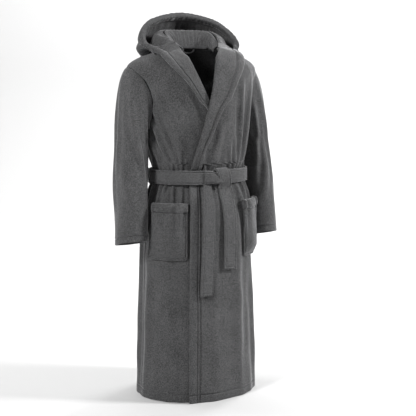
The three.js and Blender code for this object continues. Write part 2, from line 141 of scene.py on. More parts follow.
def strokes(x, y, drawn):
    """The height of drawn folds at points. Each is (points, half width, height): a ridge with a
    shallow valley on each side, or a crease if its height is below zero. All in one unit."""
    total = np.zeros(np.shape(x))
    for points, width, height in drawn:
        points = np.array(points, float)
        run = np.concatenate([[0], np.cumsum(np.linalg.norm(np.diff(points, axis=0), axis=1))])
        best = np.full(np.shape(x), 1e9)
        where = np.zeros(np.shape(x))
        for k in range(len(points) - 1):
            step = points[k + 1] - points[k]
            t = np.clip(((x - points[k, 0]) * step[0] + (y - points[k, 1]) * step[1]) / (step @ step), 0, 1)
            d = np.hypot(x - points[k, 0] - t * step[0], y - points[k, 1] - t * step[1])
            nearer = d < best
            where = np.where(nearer, (run[k] + t * (run[k + 1] - run[k])) / run[-1], where)
            best = np.minimum(best, d)
        ends = np.sin(np.pi * np.clip(where * 0.94 + 0.03, 0, 1)) ** 0.8
        q = best / width
        total += height * ends * (np.exp(-q * q) - 0.35 * np.exp(-((q - 2.1) ** 2)))
    return total


# ---- the body's surface ----
def base(phi, level):
    width, front, back, z_front, z_side, z_back, middle = np.moveaxis(along(LEVELS, level), -1, 0)
    s, c = np.sin(np.radians(phi)), np.cos(np.radians(phi))
    depth = np.where(c > 0, front, back)
    z_end = np.where(c > 0, z_front, z_back)
    return np.stack([width * s, middle + SHIFT_Y - depth * c, z_side + (z_end - z_side) * c * c], -1)


def level_at(z):
    table = along(LEVELS, np.linspace(0, 9, 901))[:, 3]
    return np.interp(z, table, np.linspace(0, 9, 901))


# Folds of the body's cloth: points are (degrees round from the centre front, height in mm); a degree
# counts as 3.4 mm, and widths and heights are in mm.
DEGREE = 3.4
FOLD_LIMIT = 14        # no fold stands higher than this, in mm
UNDER_BELT, OVER_BELT = 772, 778  # where the pleats below and above the belt start
SIDE_STITCH = 84.5     # in degrees, beside the side seam
TORSO_FOLDS = [
    ([(-80, 1075), (-76, 990), (-64, 900), (-52, 812)], 11, 5.0),
    ([(-72, 1090), (-66, 1000), (-54, 900), (-44, 815)], 10, 3.2),
    ([(-86, 960), (-78, 880), (-68, 808)], 9, 4.5),
    ([(-62, 1080), (-50, 980), (-38, 880), (-33, 815)], 13, 2.6),
    ([(-88, 1030), (-84, 930), (-82, 830)], 9, -3.5),
    ([(-30, 1090), (-20, 1020), (-14, 960)], 12, 2.0),
    ([(31, 1110), (33, 1000), (35, 900), (36, 806)], 10, 5.0),
    ([(47, 1115), (48, 1000), (47, 900), (46, 806)], 9, 5.5),
    ([(60, 1090), (60, 980), (57, 880), (55, 806)], 9, 4.0),
    ([(72, 1050), (71, 950), (68, 806)], 10, 4.5),
    ([(84, 1000), (83, 900), (80, 806)], 9, 3.5),
    ([(18, 900), (20, 850), (21, 804)], 6, 2.6),
    ([(27, 920), (28, 860), (28, 804)], 6, 2.6),
    ([(8, 960), (3, 880), (1, 806)], 11, 2.2),
    ([(-12, 880), (-14, 840), (-15, 804)], 7, 2.0),
    ([(104, 1080), (108, 960), (112, 806)], 13, 4.5),
    ([(122, 1100), (128, 960), (130, 806)], 12, 3.5),
    ([(148, 1060), (150, 930), (152, 806)], 15, 3.0),
    ([(180, 1080), (178, 930), (176, 806)], 17, 2.2),
    ([(212, 1070), (209, 930), (206, 806)], 15, 3.2),
    ([(238, 1100), (232, 960), (228, 806)], 12, 3.6),
    ([(256, 1080), (252, 960), (248, 806)], 12, 4.4),
]
WAIST_PLEATS = [-84, -71, -60, -50, -38, -12, 0, 21, 31, 43, 52, 66, 78, 97, 111, 124, 139, 153, 166,
                180, 195, 209, 222, 237, 250, 262]
SKIRT_FOLDS = [
    ([(22, 640), (24, 400), (25, 120), (25, -40)], 17, 3.6),
    ([(52, 470), (55, 300), (57, 120), (58, -40)], 16, 4.2),
    ([(78, 560), (80, 300), (82, 100), (82, -40)], 18, 3.0),
    ([(-4, 560), (-3, 300), (-2, 60), (-2, -40)], 15, 1.8),
    ([(-52, 450), (-50, 250), (-49, 80), (-48, -40)], 24, 1.8),
    ([(-78, 600), (-80, 300), (-82, 100), (-82, -40)], 17, 2.8),
    ([(108, 700), (106, 400), (104, 100), (104, -40)], 19, 4.4),
    ([(134, 720), (136, 400), (138, 100), (139, -40)], 20, 4.6),
    ([(164, 720), (163, 400), (161, 100), (160, -40)], 19, 3.8),
    ([(190, 700), (192, 400), (195, 100), (196, -40)], 21, 4.4),
    ([(220, 720), (221, 400), (223, 100), (224, -40)], 19, 4.0),
    ([(250, 700), (252, 400), (255, 100), (256, -40)], 19, 4.2),
]


def folds(phi, z):
    """How far the folded cloth stands off the smooth body, in metres."""
    phi = (np.asarray(phi, float) + 95) % 360 - 95
    x, y = phi * DEGREE, np.asarray(z, float) / MM
    total = np.zeros(np.shape(x * y))
    for turn in (-360, 0, 360):
        near = [([(p * DEGREE + turn * DEGREE, q) for p, q in points], w, h)
                for points, w, h in TORSO_FOLDS + SKIRT_FOLDS]
        # Only folds that start within reach of the body's own -323 to 901 mm round.
        total = total + strokes(x, y, [f for f in near if -420 < f[0][0][0] < 1010])
    pleats = []
    for k, at in enumerate(WAIST_PLEATS):
        lean = 5 * math.sin(k * 2.4)
        long = 70 + 45 * math.sin(k * 1.7 + 1)
        high = 4.6 + 1.6 * math.sin(k * 3.1)
        x0, y0, y1 = at * DEGREE, UNDER_BELT, OVER_BELT
        pleats.append(([(x0, y0), (x0 + lean, y0 - long), (x0 + 2 * lean, y0 - 1.7 * long)], 6.5, high))
        pleats.append(([(x0, y1), (x0 - lean, y1 + long * 0.45), (x0 - lean, y1 + long * 0.8)], 5.5,
                       high * 0.7))
    total = total + strokes(x, y, pleats)
    total = 2.3 * total + 3.0 * noise(x / 60, y / 190, 3) + 1.6 * noise(x / 24, y / 70, 5)
    total = total * smooth(y, 1190, 1110)
    return FOLD_LIMIT * np.tanh(total / FOLD_LIMIT) * MM


def skin(phi, level, out=0.0, fold=1.0):
    """A point out from the body's surface and its folds. A front's own degrees count from the centre to
    its side seam, so the right front is asked for with them negated."""
    phi, level = np.broadcast_arrays(np.asarray(phi, float), np.asarray(level, float))
    round_ = base(phi + 1, level) - base(phi - 1, level)
    up = base(phi, np.minimum(level + 0.05, 13)) - base(phi, np.maximum(level - 0.05, 0))
    normal = unit(np.cross(round_, up))
    here = base(phi, level)
    lift = np.asarray(out + fold * folds(phi, here[..., 2]), float)
    p = here + normal * lift[..., None]
    low = level < 0.3
    p[..., 2] = np.where(low, np.maximum(p[..., 2], here[..., 2]), p[..., 2])
    return p


def wrap(phi, level):
    """How far the overlapping front stands off the body, less towards the side seam and under the belt."""
    near = np.exp(-(((level - 5) / 0.4) ** 2))
    return mix(-PLY, mix(WRAP, WRAP_AT_BELT, near), smooth(85 - phi, 0, 45))


def armhole_cut(level):
    share = (level - ARMHOLE) / ARMHOLE_HALF
    return ARMHOLE_SPREAD * np.sqrt(np.maximum(1 - share * share, 0))


# ---- meshes ----
def ticks(length, step, marks=(), edges=(True, True)):
    """Places from 0 to 1 along a length: even steps, closer at the two edges and at sewn lines."""
    at = list(np.linspace(0, length, max(2, round(length / step) + 1)))
    fine = []
    if edges[0]:
        fine += [0.9 * MM, 2.4 * MM]
    if edges[1]:
        fine += [length - 0.9 * MM, length - 2.4 * MM]
    for m in marks:
        fine += [m - 2.6 * MM, m - 1.1 * MM, m, m + 1.1 * MM, m + 2.6 * MM]
    fine = [f for f in fine if 0 < f < length]
    at = [a for a in at if a in (0, length) or all(abs(a - f) > 1.6 * MM for f in fine)]
    return np.array(sorted(at + fine)) / length


def rounded(s, length, edges=(True, True)):
    """The share of its thickness that a ply has near its two edges."""
    near = np.full(np.shape(s), 1e3)
    if edges[0]:
        near = np.minimum(near, s * length)
    if edges[1]:
        near = np.minimum(near, (1 - s) * length)
    q = np.clip(near / (2.6 * MM), 0, 1)
    return np.sqrt(np.maximum(1 - (1 - q) ** 2, 0.03))


def sewn(distance, depth=2.2 * MM):
    """The groove of a line of stitches, with the plush swelling beside it."""
    d = np.abs(distance) / MM
    return depth * (-np.exp(-((d / 1.5) ** 2)) + 0.4 * np.exp(-(((d - 4) / 2) ** 2)))


def mesh_of(name, points, quads):
    """A smooth mesh piece of quads, turned to face outwards."""
    p = points[quads]
    volume = np.einsum("ij,ij->i", p[:, 0], np.cross(p[:, 1], p[:, 2])).sum()
    volume += np.einsum("ij,ij->i", p[:, 0], np.cross(p[:, 2], p[:, 3])).sum()
    if volume < 0:
        quads = quads[:, ::-1]
    mesh = bpy.data.meshes.new(name)
    mesh.vertices.add(len(points))
    mesh.vertices.foreach_set("co", np.ascontiguousarray(points, np.float32).ravel())
    mesh.loops.add(quads.size)
    mesh.loops.foreach_set("vertex_index", np.ascontiguousarray(quads, np.int32).ravel())
    mesh.polygons.add(len(quads))
    mesh.polygons.foreach_set("loop_start", np.arange(0, quads.size, 4, dtype=np.int32))
    mesh.update(calc_edges=True)
    mesh.validate()
    mesh.shade_smooth()
    piece = bpy.data.objects.new(name, mesh)
    bpy.context.scene.collection.objects.link(piece)
    return piece


def sheet_mesh(name, outer, inner, closed=False):
    """A closed shell from two grids of points, rows by columns."""
    rows, columns = outer.shape[:2]
    ids = np.arange(rows * columns).reshape(rows, columns)
    if closed:
        ids = np.concatenate([ids, ids[:, :1]], 1)
    other = ids + rows * columns

    def patch(g):
        return np.stack([g[:-1, :-1], g[:-1, 1:], g[1:, 1:], g[1:, :-1]], -1).reshape(-1, 4)

    def strip(a, b):
        return np.stack([a[:-1], b[:-1], b[1:], a[1:]], -1)

    quads = [patch(ids), patch(other)[:, ::-1], strip(ids[0], other[0]), strip(other[-1], ids[-1])]
    if not closed:
        quads += [strip(other[:, 0], ids[:, 0]), strip(ids[:, -1], other[:, -1])]
    quads = np.concatenate(quads)
    return mesh_of(name, np.concatenate([outer.reshape(-1, 3), inner.reshape(-1, 3)]), quads)


def tube_mesh(name, rings):
    """A closed tube from a grid of section points by stations, with capped ends."""
    sections, stations = rings.shape[:2]
    ids = np.arange(sections * stations).reshape(sections, stations)
    ids = np.concatenate([ids, ids[:1]], 0)
    quads = np.stack([ids[:-1, :-1], ids[:-1, 1:], ids[1:, 1:], ids[1:, :-1]], -1).reshape(-1, 4)
    caps = []
    for end in (0, stations - 1):
        loop = np.arange(sections) * stations + end
        for k in range(sections // 2 - 1):
            cap = [loop[k], loop[k + 1], loop[sections - 2 - k], loop[sections - 1 - k]]
            caps.append(cap if end == 0 else cap[::-1])
    return mesh_of(name, rings.reshape(-1, 3), np.concatenate([quads, np.array(caps)]))


def mirror(p, side):
    return p * np.array([side, 1, 1])


# ---- materials ----
def put(node, values):
    for name, value in values.items():
        node.inputs[name].default_value = value


def fabric(name, light, dark, grain=1.0, weave=False):
    """Plush or woven cloth: uneven dye, a nap a few millimetres long and a finer pile on it."""
    material = bpy.data.materials.new(name)
    material.use_nodes = True
    nodes, links = material.node_tree.nodes, material.node_tree.links
    shader = nodes["Principled BSDF"]
    where = nodes.new("ShaderNodeTexCoord")

    def noise_node(scale, detail, rough=0.5):
        n = nodes.new("ShaderNodeTexNoise")
        put(n, {"Scale": scale, "Detail": detail, "Roughness": rough})
        links.new(where.outputs["Object"], n.inputs["Vector"])
        return n

    def share_of(source, share, rest=None):
        n = nodes.new("ShaderNodeMath")
        n.operation = "MULTIPLY_ADD" if rest else "MULTIPLY"
        n.inputs[1].default_value = share
        links.new(source.outputs["Fac"], n.inputs[0])
        if rest:
            links.new(rest.outputs[0], n.inputs[2])
        return n

    def bump(source, strength, distance):
        n = nodes.new("ShaderNodeBump")
        put(n, {"Strength": strength * grain, "Distance": distance})
        links.new(source.outputs["Fac"], n.inputs["Height"])
        return n

    patches, nap, pile = noise_node(14, 3), noise_node(330, 3, 0.6), noise_node(1300, 2, 0.7)
    total = share_of(nap, 0.72, share_of(patches, 0.12, share_of(pile, 0.16)))
    ramp = nodes.new("ShaderNodeValToRGB")
    for element, place, color in zip(ramp.color_ramp.elements, (0.40, 0.62), (dark, light)):
        element.position = place
        element.color = (*color, 1)
    links.new(total.outputs[0], ramp.inputs["Fac"])
    links.new(ramp.outputs["Color"], shader.inputs["Base Color"])
    put(shader, {"Roughness": 0.92, "Specular IOR Level": 0.15, "Sheen Weight": 0.10 if weave else 0.60,
                 "Sheen Roughness": 0.32, "Sheen Tint": (0.9, 0.9, 0.92, 1)})
    threads = pile
    if weave:
        threads = nodes.new("ShaderNodeTexWave")
        put(threads, {"Scale": 320})
        links.new(where.outputs["Object"], threads.inputs["Vector"])
    low, high = bump(nap, 0.8, 0.0012), bump(threads, 0.6, 0.0005)
    links.new(low.outputs["Normal"], high.inputs["Normal"])
    links.new(high.outputs["Normal"], shader.inputs["Normal"])
    return material


PLUSH = fabric("plush", (0.112, 0.112, 0.114), (0.036, 0.036, 0.0367))
BELT_PLUSH = fabric("belt_plush", (0.112, 0.112, 0.1142), (0.044, 0.044, 0.0449))
TAPE = fabric("woven_tape", (0.085, 0.085, 0.087), (0.055, 0.055, 0.057), 0.6, weave=True)


def dress(piece, node, body=None, material=PLUSH):
    """Give a piece its cloth, and the body it rides on, in place of a CAD node."""
    piece.data.materials.append(material)
    if body:
        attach(piece, body)
    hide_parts(node)
    return piece


def plush(node, outer, inner, body="robe", closed=False):
    return dress(sheet_mesh(node, outer, inner, closed), node, body)


# ---- body panels ----
def level_steps(rows):
    """Even steps of about 5.5 mm up from each level: rows gives (level, height in mm to the next one)."""
    at = []
    for k, long in rows:
        n = round(long / 5.5)
        at += [k + (i + 1) / n for i in range(n)]
    return at


def panel_levels(top=TOP_LEVEL):
    at = [0.0] + level_steps(enumerate([190, 190, 180, 120, 95, 85, 75]))
    at = [a for a in at if abs(along(LEVELS, a)[3] - HEM) > 3 * MM]
    at += [float(level_at(HEM + d * MM)) for d in (-2.6, -1.1, 0, 1.1, 2.6)]
    at += [float(level_at(d * MM)) for d in (0.9, 2.4)]
    at += [ARMHOLE - ARMHOLE_HALF * math.cos(math.pi * k / 48) for k in range(1, 49)]
    at += level_steps(((10, 62), (11, 66), (12, 55)))
    return np.array(sorted(a for a in at if a <= top + 1e-9))


def panel(start, end, lift, columns, side=1, mark=None):
    """A body panel between two edges: start and end give degrees at each level."""
    level = panel_levels()[:, None]
    low, high = start(level), end(level)
    s = ticks(PANEL_RUN, PANEL_RUN / columns)[None, :]
    phi = low + (high - low) * s
    share = rounded(s, np.abs(high - low) * math.pi / 180 * BODY_RADIUS)
    share = share * rounded(level / TOP_LEVEL, BODY_LENGTH)
    level = np.broadcast_to(level, phi.shape)
    off = lift(phi, level)
    groove = sewn(base(phi, level)[..., 2] - HEM) * (level < 1)
    if mark:
        groove = groove + mark(phi, level)
    half = PLY / 2
    outer = skin(side * phi, level, off + half + half * share + groove)
    inner = skin(side * phi, level, off + half - half * share)
    return outer, inner


def flat_lift(phi, level):
    return -PLY + 0 * phi


def side_stitch(phi, level):
    """A line of stitches beside the side seam."""
    return sewn((phi - SIDE_STITCH) * DEGREE * MM, 0.9 * MM) * (level < 7)


def make_back():
    edge = lambda level: 90 + SIDE_GAP + armhole_cut(level)
    piece = plush("back_panel", *panel(edge, lambda level: 360 - edge(level), flat_lift, 150))


def degrees_for(width, level):
    return width / (math.pi / 180 * along(LEVELS, level)[..., 0])


def make_fronts():
    for name, side in SIDES:
        def start(level):
            banded = np.where(level < BAND_TOP, degrees_for(BAND + SEAM, level), 0)
            return along(EDGES[side], level) + banded

        outer, inner = panel(start, lambda level: 90 - SIDE_GAP - armhole_cut(level),
                             wrap if side > 0 else flat_lift, 84, side, side_stitch)
        piece = plush(f"front_panel_{name}", outer, inner)


def make_bands():
    rows = panel_levels(5.75)[:, None]
    stitches = BAND - 3 * MM, BAND - 10 * MM
    s = ticks(BAND, 4.5 * MM, marks=stitches)[None, :]
    for name, side in SIDES:
        phi = along(EDGES[side], rows) + degrees_for(BAND, rows) * s
        level = np.broadcast_to(rows, phi.shape)
        lift = wrap(phi, level) if side > 0 else flat_lift(phi, level)
        share = rounded(s, BAND) * rounded(rows / TOP_LEVEL, BODY_LENGTH)
        groove = sum(sewn(s * BAND - at) for at in stitches)
        groove = groove + sewn(base(phi, level)[..., 2] - HEM) * (level < 1)
        puff = 1.6 * MM * np.sin(math.pi * np.clip(s * 1.35, 0, 1)) - 3.4 * MM * smooth(level, 5.25, 5.6)
        outer = skin(side * phi, level, lift + 3 * MM + 3.2 * MM * share + groove + puff)
        inner = skin(side * phi, level, lift + 2.6 * MM - 3.1 * MM * share)
        piece = plush(f"front_band_{name}", outer, inner)


def make_hems():
    top = float(level_at(HEM))
    rows = np.linspace(0.006, top, 9)[:, None]

    def hem(name, start, end, lift, columns, side=1):
        s = ticks(PANEL_RUN, PANEL_RUN / columns)[None, :]
        phi = start + (end - start) * s + 0 * rows
        level = rows + 0 * phi
        off = lift(phi, level) - 0.9 * MM
        share = rounded(s, PANEL_RUN) * rounded(rows / top, HEM)
        piece = plush(name, skin(side * phi, level, off), skin(side * phi, level, off - 3.6 * MM * share))

    hem("hem_back", 90 + SIDE_GAP, 270 - SIDE_GAP, flat_lift, 150)
    start, end = EDGE_OVER[0] + degrees_for(BAND + SEAM, 0), 90 - SIDE_GAP
    hem("hem_front_left", start, end, wrap, 84)
    hem("hem_front_right", start, end, flat_lift, 84, -1)


# ---- lapels ----
# Up the lapel: the level of its outer edge, which is the front's own edge, then the degrees and the level
# of its folded edge.
LAPEL = np.array([
    [5.25, -15.5, 5.25], [6.2, -10.5, 6.2], [7, -2, 7.05], [7.7, 6, 7.7], [8.4, 14.5, 8.2], [9.2, 20, 8.9],
    [10, 25, 9.55], [10.8, 31, 10.1], [11.6, 40, 10.6], [12.4, 50, 11.05], [12.9, 60, 11.35]])
# Where the lapel goes on into the hood, from the neck outwards.
JOIN = np.array([[84, -14, 1241], [112, -15, 1232], [140, -16, 1217], [167, -17, 1207]]) * MM


def make_lapels():
    rows = np.linspace(0, 1, 120)[:, None]
    band = 0.30
    s = ticks(0.06, 2.2 * MM, marks=(0.06 * (1 - band),))[None, :]
    for name, side in SIDES:
        rest = PLY + 3 * MM if side > 0 else 2 * MM
        at = rows * (len(LAPEL) + 1)
        k = np.minimum(at, len(LAPEL) - 1)
        row = along(LAPEL, k)
        phi = along(EDGES[side], row[..., 0]) * (1 - s) + row[..., 1] * s
        level = row[..., 0] * (1 - s) + row[..., 2] * s
        lift = np.maximum(wrap(phi, level), 0) if side > 0 else 0 * phi
        wide = 0.03 + 0.05 * rows
        share = rounded(s, 0.05) * rounded(rows, 0.5)
        puff = 4.5 * MM * np.sin(math.pi * np.clip((s - 1 + band) / band, 0, 1)) ** 0.7
        puff = (puff + 2.0 * MM * np.sin(math.pi * np.clip(s / (1 - band), 0, 1))) * smooth(rows, 0, 0.12)
        flare = 5 * MM * smooth(s, 0.3, 1.0) * smooth(rows, 0.02, 0.2) * (1 - 0.9 * smooth(rows, 0.7, 0.95))
        seam = sewn((s - 1 + band) * wide, 1.5 * MM)
        cloth = 2.4 * MM * noise(rows * 8 + s * 3, s * 2 - rows * 4, 11 + side)
        cloth = cloth * smooth(rows, 0.1, 0.4) * np.sin(math.pi * s)
        height = (rest - 1 * MM) * smooth(rows, -0.06, 0.05) + lift + puff + flare + cloth
        join = along(JOIN, s * 3)
        blend = smooth(at, len(LAPEL) - 1, len(LAPEL) + 1)[..., None]

        def face(out):
            p = skin(side * phi, level, height + out)
            q = np.broadcast_to(join, p.shape).copy()
            q[..., 2] += out + puff - 5 * MM
            return p * (1 - blend) + mirror(q, side) * blend

        outer, inner = face(3 * MM + 3 * MM * share + seam), face(3 * MM - 3 * MM * share)
        piece = plush(f"lapel_{name}", outer, inner)


# ---- sleeves ----
# Rings of the sleeve: the place of the centre, then the half width and the half depth.
UPPER_ARM, ELBOW, WRIST = (np.array(r) * MM for r in (
    [238, 16, 905, 48, 78], [251, -9, 740, 54, 68], [260, -27, 553, 56, 58]))
SHOULDER = np.array([213, 16, 1035]) * MM
SLEEVE = 0.60          # length from the shoulder to the end of the cuff
CUFF = 30 * MM
CUFF_TILT = 0.24       # how steeply the end rises towards the front
TURN = 1.1             # a degree round the sleeve counts as this many mm
# Folds by side: points are (degrees round from the outer line, mm down from the shoulder).
SLEEVE_FOLDS = {
    -1: [([(63, 130), (86, 280), (125, 430)], 9, 4.2), ([(99, 70), (127, 180), (142, 270)], 8, 3.4),
         ([(5, 50), (2, 200), (0, 380)], 9, 3.0), ([(40, 30), (58, 170), (72, 260)], 9, 3.2),
         ([(20, 330), (60, 450), (110, 540)], 13, 2.4), ([(-20, 60), (-28, 300), (-20, 480)], 11, 3.2),
         ([(-60, 40), (-70, 200), (-60, 400)], 11, 3.4), ([(-105, 50), (-100, 260), (-110, 460)], 12, 3.0),
         ([(165, 100), (160, 260), (170, 420)], 10, 3.0)],
    1: [([(60, 50), (52, 220), (46, 420)], 10, 3.4), ([(98, 60), (112, 260), (132, 430)], 10, 3.6),
        ([(142, 60), (132, 210), (112, 350)], 9, 3.2), ([(76, 330), (100, 480)], 12, 2.4),
        ([(20, 60), (24, 260), (16, 470)], 11, 3.0), ([(-22, 50), (-26, 250), (-34, 480)], 11, 3.2),
        ([(-62, 60), (-56, 200), (-66, 420)], 12, 3.4), ([(-104, 50), (-110, 250), (-98, 460)], 11, 3.0),
        ([(175, 90), (168, 260), (176, 420)], 10, 3.0)]}


def ring(r, turn):
    x, y = r[..., 0] + r[..., 3] * np.cos(turn), r[..., 1] - r[..., 4] * np.sin(turn)
    return np.stack([x, y, r[..., 2] + 0 * turn], -1)


def sleeve_point(turn, w, out):
    """A point of the left sleeve: turn 0 is its outer line, a quarter its front, a half its inner line."""
    turn, w = np.broadcast_arrays(turn, w)
    degrees = 90 - ARMHOLE_SPREAD * np.sin(turn)
    level = ARMHOLE + ARMHOLE_HALF * np.cos(turn)
    start = base(degrees, level) + np.array([1.4, 0, -0.4]) * MM
    end = ring(UPPER_ARM, turn)
    high = ((1 + np.cos(turn)) / 2)[..., None]
    t = np.clip(w / 0.4, 0, 1)[..., None]
    q = t * t * (3 - 2 * t)
    first = start * (1 - q) + end * q
    first = first + np.array([0.86, 0, -0.5]) * mix(40, 140, high) * MM * t * (1 - t) ** 2
    first = first + np.array([0.05, 0, -1]) * mix(30, 170, high) * MM * t * t * (t - 1)
    c1 = mix(SHOULDER, UPPER_ARM[:3], t)
    t2 = np.clip((w - 0.4) / 0.6, 0, 1) * 2
    r = along(np.array([UPPER_ARM, ELBOW, WRIST]), t2)
    second = ring(r, turn)
    c2 = np.stack([r[..., 0], r[..., 1], second[..., 2]], -1)
    tilt = CUFF_TILT * smooth(w, 0.45, 1.0) * (second[..., 1] - c2[..., 1])
    second[..., 2] -= tilt
    c2[..., 2] -= tilt
    lower = (w >= 0.4)[..., None]
    p, centre = np.where(lower, second, first), np.where(lower, c2, c1)
    return p + unit(p - centre) * np.asarray(out)[..., None]


def make_sleeves():
    turn = np.radians(np.linspace(0, 360, 97)[:-1])[None, :]
    w = ticks(SLEEVE, 5 * MM, marks=(7 * MM, SLEEVE - CUFF, SLEEVE - CUFF + 6 * MM))[:, None]
    d = w * SLEEVE
    groove = sewn(d - 7 * MM, 1.0 * MM) + sewn(d - SLEEVE + CUFF) + sewn(d - SLEEVE + CUFF - 6 * MM, 0.6 * MM)
    share = rounded(w, SLEEVE)
    for name, side in SIDES:
        degrees, y = np.broadcast_arrays((np.degrees(turn) + 130) % 360 - 130, d / MM)
        folded = [([(p * TURN, q) for p, q in points], wide, high)
                  for points, wide, high in SLEEVE_FOLDS[side]]
        lift = sum(strokes((degrees + shift) * TURN, y, folded) for shift in (-360, 0, 360))
        u, v = np.cos(np.radians(degrees)) * TURN, np.sin(np.radians(degrees)) * TURN
        lift = lift + 1.5 * noise(u * 2 + y / 140, v * 2 + y / 170, 21 + side)
        lift = 12 * np.tanh(2.3 * lift / 12) * MM * smooth(y, 2, 60) * mix(1, 0.45, smooth(y, 480, 570))
        outer = sleeve_point(turn, w, lift - PLY / 2 + PLY / 2 * share + groove)
        inner = sleeve_point(turn, w, lift - PLY / 2 - PLY / 2 * share)
        piece = plush(f"sleeve_{name}", mirror(outer, side), mirror(inner, side), body=None, closed=True)
        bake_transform(piece)
        t = np.linspace(1 - CUFF / SLEEVE, 0.9985, 12)[:, None]
        turned = lift[np.searchsorted(w[:, 0], t[:, 0]).clip(0, len(w) - 1)] - PLY - 0.5 * MM
        thin = rounded((t - t[0]) / (t[-1] - t[0]), CUFF)
        outer, inner = sleeve_point(turn, t, turned), sleeve_point(turn, t, turned - 4 * MM * thin)
        cuff = plush(f"cuff_hem_{name}", mirror(outer, side), mirror(inner, side), f"{name}_sleeve", True)


# ---- hood and neck ----
# The left half of the hood as seven guides, each from the shoulder round to the middle of the back: the
# crest at the collar, the inside, the bottom of the fold, the outside, the upper part, the band, the rim.
GUIDES = np.array([
    [[88, 2, 1244], [98, 36, 1263], [90, 66, 1279], [52, 89, 1284], [0, 95, 1285]],
    [[102, 2, 1244], [128, 40, 1256], [118, 84, 1264], [70, 116, 1258], [0, 126, 1252]],
    [[112, 2, 1234], [154, 44, 1210], [136, 92, 1188], [88, 140, 1132], [0, 164, 1094]],
    [[122, 2, 1227], [180, 48, 1206], [160, 100, 1192], [112, 160, 1156], [0, 202, 1142]],
    [[134, 1, 1220], [192, 48, 1215], [170, 96, 1223], [116, 147, 1231], [0, 188, 1229]],
    [[146, 0, 1215], [190, 44, 1229], [164, 82, 1271], [112, 103, 1303], [0, 118, 1321]],
    [[168, -1, 1209], [177, 36, 1253], [156, 68, 1293], [104, 84, 1322], [0, 96, 1340]]]) * MM
FRONT = np.array([[82, -15, 1237], [95, -15, 1232], [107, -15, 1227], [119, -15, 1221], [131, -15, 1215],
                  [143, -15, 1211], [163, -15, 1203]]) * MM  # the hood's front end, under the lapel's
GUIDES = np.concatenate([FRONT[:, None], GUIDES], 1)
GUIDES[..., 1] += SHIFT_Y
WHOLE = np.concatenate([GUIDES, (GUIDES * [-1, 1, 1])[:, -2::-1]], 1)  # both halves: 7 guides, 11 stations


HOOD_HALF = 0.34       # length round one half of the hood


def hood_point(station, guide, out):
    """A point of the hood: station 0 to 10 from the left lapel round to the right one, guide 0 to 6."""
    def at(s, g):
        s, g = np.broadcast_arrays(s, g)
        rows = along(np.moveaxis(WHOLE, 1, 0).reshape(11, 21), s.ravel()).reshape(-1, 7, 3)
        guides = np.clip(g.ravel(), 0, 6)
        i = np.minimum(np.floor(guides).astype(int), 5)
        t = (guides - i)[:, None]
        n = np.arange(len(i))
        a, b, c, d = (rows[n, np.clip(i + k, 0, 6)] for k in (-1, 0, 1, 2))
        p = b + 0.5 * t * (c - a + t * (2 * a - 5 * b + 4 * c - d + t * (3 * (b - c) + d - a)))
        return p.reshape(s.shape + (3,))

    e = 0.03
    here = at(station, guide)
    over = at(station, guide + e) - at(station, guide - e)
    beside = at(station + e, guide) - at(station - e, guide)
    return here + unit(np.cross(beside, over)) * np.asarray(out)[..., None]


def hood_dress(piece, node):
    dress(piece, node)
    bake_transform(piece)


def make_hood():
    s = ticks(HOOD_HALF, 4 * MM, marks=(HOOD_HALF - 6 * MM,))[None, :]
    g = np.linspace(0.1, 5.25, 118)[:, None]
    x, y = np.broadcast_arrays(s, g)
    share = rounded(s, HOOD_HALF, (True, False)) * rounded((g - 0.1) / 5.15, 0.5, (True, False))
    # The cloth is gathered into the rim at guide 5, and at the neck.
    puckers = 1.1 * np.sin(x * 150 + 2 * noise(x * 12, y, 37))
    puckers = puckers * smooth(y, 4.2, 4.95) * (1 - smooth(y, 4.97, 5.0))
    puckers = puckers + 1.2 * np.sin(x * 120 + 2 * noise(x * 10, y, 39)) * (1 - smooth(y, 0.2, 1.3))
    pinch = 0.45 + 0.55 * smooth(np.abs(y - 4.95), 0.05, 0.5)
    loose = smooth(y, 0.1, 0.9) * (1 - 0.6 * smooth(y, 4.3, 5)) * smooth(x, 0.08, 0.25)
    seam = sewn((1 - x) * HOOD_HALF - 6 * MM, 0.8 * MM)
    for name, side in SIDES:
        cloth = 2.2 * noise(x * 7 + y * 0.5, y * 1.1, 31 + side) + 1.0 * noise(x * 16, y * 2.2, 35)
        lift = (cloth * loose + puckers) * MM
        outer = hood_point(0.05 + 4.95 * s, g, lift + 2.6 * MM * share * pinch + seam)
        inner = hood_point(0.05 + 4.95 * s, g, lift - 2.6 * MM * share * pinch - seam)
        piece = sheet_mesh(f"hood_{name}", mirror(outer, side), mirror(inner, side))
        hood_dress(piece, f"hood_{name}")
    # The rim is a flat roll round the last two guides, a little bunched along its length.
    s = np.linspace(0.15, 9.85, 380)[None, :]
    q = np.linspace(0, 2 * np.pi, 33)[:-1][:, None]
    run = s / 10
    guide = 5.52 + 0.49 * np.sign(np.cos(q)) * np.abs(np.cos(q)) ** 0.7
    bunched = np.sin(run * 410 + 3 * noise(run * 60, 0 * s, 41))
    bunched = bunched * (0.5 + 0.5 * np.abs(noise(run * 22, 0 * s, 43)))
    thick = (10.0 + 1.6 * bunched) * MM * mix(0.75, 1, smooth(np.minimum(run, 1 - run), 0, 0.06))
    lift = thick * np.sign(np.sin(q)) * np.abs(np.sin(q)) ** 0.7
    piece = tube_mesh("hood_rim", hood_point(s + 0 * q, guide + 0 * s, lift))
    hood_dress(piece, "hood_rim")


